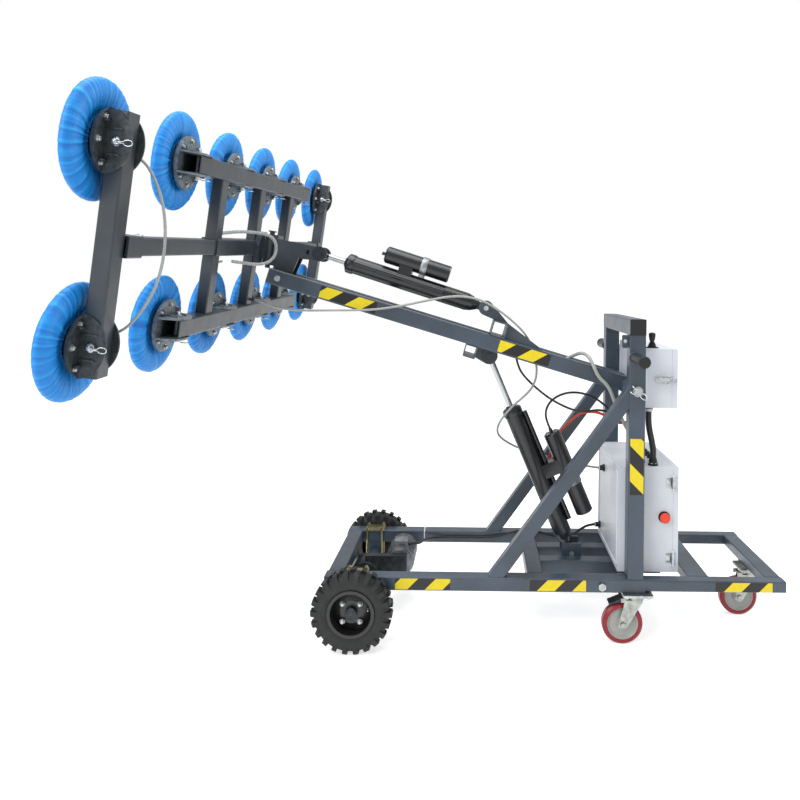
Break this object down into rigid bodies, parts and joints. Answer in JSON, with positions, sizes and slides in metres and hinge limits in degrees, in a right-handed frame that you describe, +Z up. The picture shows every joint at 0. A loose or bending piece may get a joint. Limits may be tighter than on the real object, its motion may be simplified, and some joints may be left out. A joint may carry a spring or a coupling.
{
  "type": "glass panel lifter",
  "caption": "Wheeled glass panel lifter with a powered boom and a swivelling frame of covered vacuum cups.",
  "frame": {"origin": "bottom centre of the machine's box at rest, on the ground", "axes": "+X from the cups to the operator's end, +Y to the machine's far side along the cup bars, +Z up"},
  "size_m": [2.2648, 2.525, 1.9521],
  "materials": {
    "frame_paint": "satin slate enamel",
    "white_paint": "fine textured powder coat",
    "black_paint": "smooth black enamel",
    "zinc": "bright zinc plate",
    "chrome": "polished",
    "cast_alu": "sand cast, painted grey",
    "motor_alu": "die cast",
    "cup_rubber": "moulded",
    "tyre": "moulded tread",
    "red_wheel": "cast polyurethane",
    "blue_cloth": "nonwoven cover cloth",
    "black_plastic": "moulded",
    "red_plastic": "moulded",
    "clear_hose": "braided clear PVC",
    "grey_hose": "grey PVC",
    "black_cable": "rubber sheath"
  },
  "bodies": {
    "chassis": {"chassis_frame": "frame_paint", "mast_frame": "frame_paint", "mast_braces": "frame_paint", "tube_end_caps": "black_plastic", "mast_pins": "zinc", "side_grips": "black_plastic", "rail_hardware": "zinc", "axle_beam": "frame_paint", "axle_clamps": "zinc", "drive_gearbox": "motor_alu", "drive_motor": "motor_alu", "cabinet_shell": "white_paint", "battery_and_pump": "black_plastic", "control_box": "white_paint", "chassis_cables": "black_cable"},
    "rear_frame": {"rear_frame": "frame_paint", "rear_castor_plate": "zinc"},
    "wheel_near": {"drive_rim_near": "black_paint", "drive_tyre_near": "tyre"},
    "wheel_far": {"drive_rim_far": "black_paint", "drive_tyre_far": "tyre"},
    "fork_near": {"castor_fork_near": "zinc"},
    "fork_far": {"castor_fork_far": "zinc"},
    "fork_rear": {"castor_fork_rear": "zinc"},
    "castor_near": {"castor_wheel_near": "red_wheel"},
    "castor_far": {"castor_wheel_far": "red_wheel"},
    "castor_rear": {"castor_wheel_rear": "red_wheel"},
    "brake_near": {"castor_brake_near": "black_plastic"},
    "brake_far": {"castor_brake_far": "black_plastic"},
    "boom": {"boom_frame": "frame_paint", "boom_lugs": "frame_paint", "boom_pins": "zinc", "boom_hoses": "grey_hose"},
    "lift_tube": {"lift_actuator_tube": "black_paint", "lift_actuator_motor": "black_paint"},
    "lift_rod": {"lift_actuator_rod": "chrome"},
    "tilt_tube": {"tilt_actuator_tube": "black_paint", "tilt_actuator_motor": "black_paint"},
    "tilt_rod": {"tilt_actuator_rod": "chrome"},
    "lever": {"tilt_lever": "frame_paint"},
    "swing": {"swing_block": "frame_paint"},
    "head": {"head_frame": "frame_paint", "cup_hubs_frame": "cast_alu", "cup_rubbers_frame": "cup_rubber", "cup_covers_frame": "blue_cloth", "head_hoses": "clear_hose"},
    "arm_near": {"end_bar_near": "frame_paint", "cup_hubs_near": "cast_alu", "cup_rubbers_near": "cup_rubber", "cup_covers_near": "blue_cloth", "near_bar_hose": "clear_hose"},
    "arm_far": {"end_bar_far": "frame_paint", "cup_hubs_far": "cast_alu", "cup_rubbers_far": "cup_rubber", "cup_covers_far": "blue_cloth"},
    "door": {"cabinet_door": "white_paint"},
    "lid": {"control_lid": "white_paint"},
    "latch": {"control_latch": "zinc"},
    "joystick": {"joystick": "black_plastic"},
    "stop_button": {"emergency_stop": "red_plastic"}
  },
  "joints": [
    {"name": "rear_frame_slide", "type": "slide", "parent": "chassis", "child": "rear_frame", "axis": [1, 0, 0], "range_m": [-0.15, 0.1]},
    {"name": "drive_wheel_near_spin", "type": "hinge", "parent": "chassis", "child": "wheel_near", "pos_m": [-0.48356, -0.34428, 0.146], "axis": [0, 1, 0], "continuous": true},
    {"name": "drive_wheel_far_spin", "type": "hinge", "parent": "chassis", "child": "wheel_far", "pos_m": [-0.48356, 0.33972, 0.146], "axis": [0, 1, 0], "continuous": true},
    {"name": "castor_near_swivel", "type": "hinge", "parent": "chassis", "child": "fork_near", "pos_m": [0.55644, -0.25728, 0.174], "axis": [0, 0, 1], "continuous": true},
    {"name": "castor_near_spin", "type": "hinge", "parent": "fork_near", "child": "castor_near", "pos_m": [0.50644, -0.25728, 0.075], "axis": [0, 1, 0], "continuous": true},
    {"name": "castor_near_brake", "type": "hinge", "parent": "fork_near", "child": "brake_near", "pos_m": [0.50444, -0.25728, 0.166], "axis": [0, -1, 0], "range_deg": [0, 8]},
    {"name": "castor_far_swivel", "type": "hinge", "parent": "chassis", "child": "fork_far", "pos_m": [0.55644, 0.25272, 0.174], "axis": [0, 0, 1], "continuous": true},
    {"name": "castor_far_spin", "type": "hinge", "parent": "fork_far", "child": "castor_far", "pos_m": [0.50644, 0.25272, 0.075], "axis": [0, 1, 0], "continuous": true},
    {"name": "castor_far_brake", "type": "hinge", "parent": "fork_far", "child": "brake_far", "pos_m": [0.50444, 0.25272, 0.166], "axis": [0, -1, 0], "range_deg": [0, 8]},
    {"name": "castor_rear_swivel", "type": "hinge", "parent": "rear_frame", "child": "fork_rear", "pos_m": [1.07744, -0.00228, 0.174], "axis": [0, 0, 1], "continuous": true},
    {"name": "castor_rear_spin", "type": "hinge", "parent": "fork_rear", "child": "castor_rear", "pos_m": [1.02744, -0.00228, 0.075], "axis": [0, 1, 0], "continuous": true},
    {"name": "boom_lift", "type": "hinge", "parent": "chassis", "child": "boom", "pos_m": [0.54844, -0.00228, 0.938], "axis": [0, 1, 0], "range_deg": [-18, 18], "deforming": ["boom_hoses", "chassis_cables"]},
    {"name": "lift_tube_pivot", "type": "hinge", "parent": "chassis", "child": "lift_tube", "pos_m": [0.34444, -0.00228, 0.25], "axis": [0, 1, 0], "range_deg": [-15, 15]},
    {"name": "lift_rod_slide", "type": "slide", "parent": "lift_tube", "child": "lift_rod", "axis": [-0.3957, 0, 0.9184], "range_m": [-0.16, 0.16]},
    {"name": "head_tilt", "type": "hinge", "parent": "boom", "child": "lever", "pos_m": [-0.8291, -0.00228, 1.34004], "axis": [0, -1, 0], "range_deg": [-18, 18], "deforming": ["boom_hoses"]},
    {"name": "tilt_tube_pivot", "type": "hinge", "parent": "boom", "child": "tilt_tube", "pos_m": [-0.00956, -0.00228, 1.231], "axis": [0, 1, 0], "range_deg": [-8, 8]},
    {"name": "tilt_rod_slide", "type": "slide", "parent": "tilt_tube", "child": "tilt_rod", "axis": [-0.9544, 0, 0.2984], "range_m": [-0.055, 0.055]},
    {"name": "head_swing", "type": "hinge", "parent": "lever", "child": "swing", "pos_m": [-0.89308, -0.00228, 1.45823], "axis": [0.1409, 0, 0.99], "range_deg": [-15, 15], "deforming": ["boom_hoses"]},
    {"name": "head_roll", "type": "hinge", "parent": "swing", "child": "head", "pos_m": [-0.93763, -0.00157, 1.46457], "axis": [0.9899, -0.0157, -0.1409], "range_deg": [-90, 90], "deforming": ["boom_hoses", "head_hoses"]},
    {"name": "arm_near_slide", "type": "slide", "parent": "head", "child": "arm_near", "axis": [-0.0231, -0.9984, -0.0513], "range_m": [-0.14, 0.15]},
    {"name": "arm_far_slide", "type": "slide", "parent": "head", "child": "arm_far", "axis": [0.0231, 0.9984, 0.0513], "range_m": [-0.14, 0.15]},
    {"name": "cabinet_door_hinge", "type": "hinge", "parent": "chassis", "child": "door", "pos_m": [0.70174, -0.23128, 0.44], "axis": [0, 0, -1], "range_deg": [0, 110]},
    {"name": "control_lid_hinge", "type": "hinge", "parent": "chassis", "child": "lid", "pos_m": [0.69074, 0.23472, 0.98], "axis": [0, 0, 1], "range_deg": [0, 110]},
    {"name": "control_latch_hinge", "type": "hinge", "parent": "chassis", "child": "latch", "pos_m": [0.67644, -0.24028, 0.975], "axis": [0, 0, 1], "range_deg": [0, 100]},
    {"name": "joystick_tilt", "type": "hinge", "parent": "chassis", "child": "joystick", "pos_m": [0.62544, -0.18228, 1.087], "axis": [0, 1, 0], "range_deg": [-15, 15], "stiffness_Nm_per_rad": 0.3},
    {"name": "stop_button_press", "type": "slide", "parent": "chassis", "child": "stop_button", "axis": [0, 1, 0], "range_m": [0, 0.005], "stiffness_N_per_m": 400}
  ],
  "couplings": [
    {"joint": "lift_tube_pivot", "follows": "boom_lift", "ratio": 0.36027},
    {"joint": "lift_rod_slide", "follows": "boom_lift", "m_per_rad": 0.45884},
    {"joint": "tilt_tube_pivot", "follows": "head_tilt", "ratio": 0.15117},
    {"joint": "tilt_rod_slide", "follows": "head_tilt", "m_per_rad": 0.13621}
  ]
}
